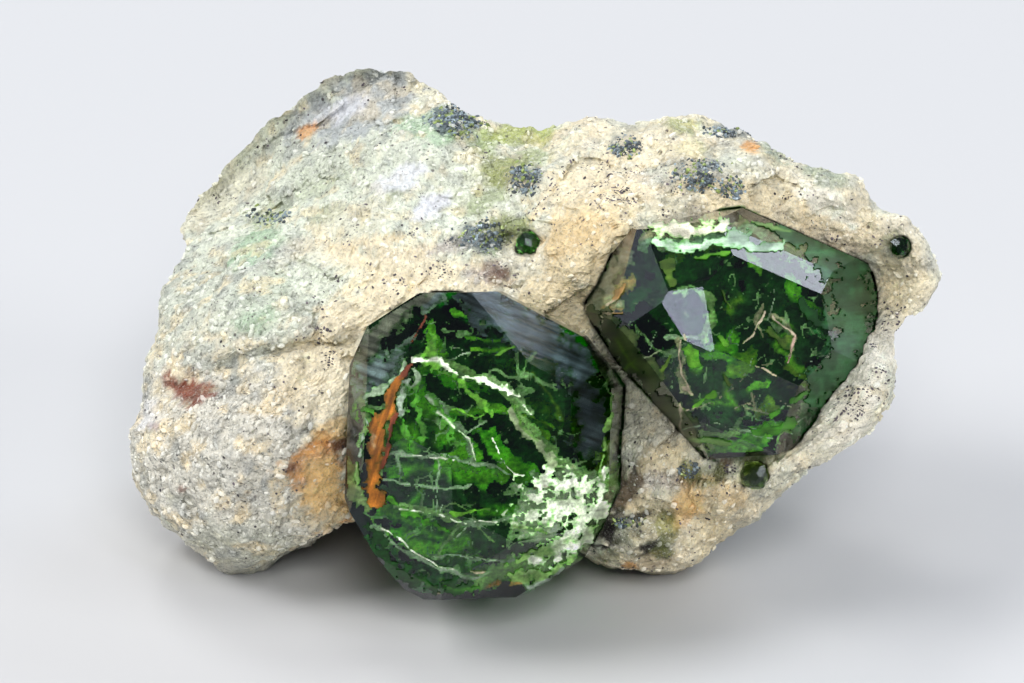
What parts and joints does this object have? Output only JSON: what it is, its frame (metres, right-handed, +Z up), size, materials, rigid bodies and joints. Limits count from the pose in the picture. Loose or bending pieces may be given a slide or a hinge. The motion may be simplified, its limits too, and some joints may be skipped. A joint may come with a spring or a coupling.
{
  "type": "demantoid garnet specimen",
  "caption": "Loose lump of pale altered rock with large dark green, flat-faced garnet crystals grown in its front. Rests on a flat patch of its underside.",
  "frame": {"origin": "a point on the flat rest face of the underside, about its middle", "axes": "+X along the stone's length to its thin right end, seen from the front where the large crystals are; +Y to the back; +Z up from the surface that it rests on"},
  "size_m": [0.0361, 0.0272, 0.0186],
  "materials": {
    "pale_altered_rock": "rough, granular, stained with rust and green",
    "green_garnet": "glassy, clear to cloudy, flat natural faces",
    "olive_garnet": "glassy, cloudy"
  },
  "bodies": {
    "root": {"matrix": "pale_altered_rock", "crystal_left": "green_garnet", "crystal_right": "green_garnet", "crystal_toe": "olive_garnet", "crystal_rim": "olive_garnet", "crystal_shelf": "olive_garnet"}
  },
  "joints": []
}
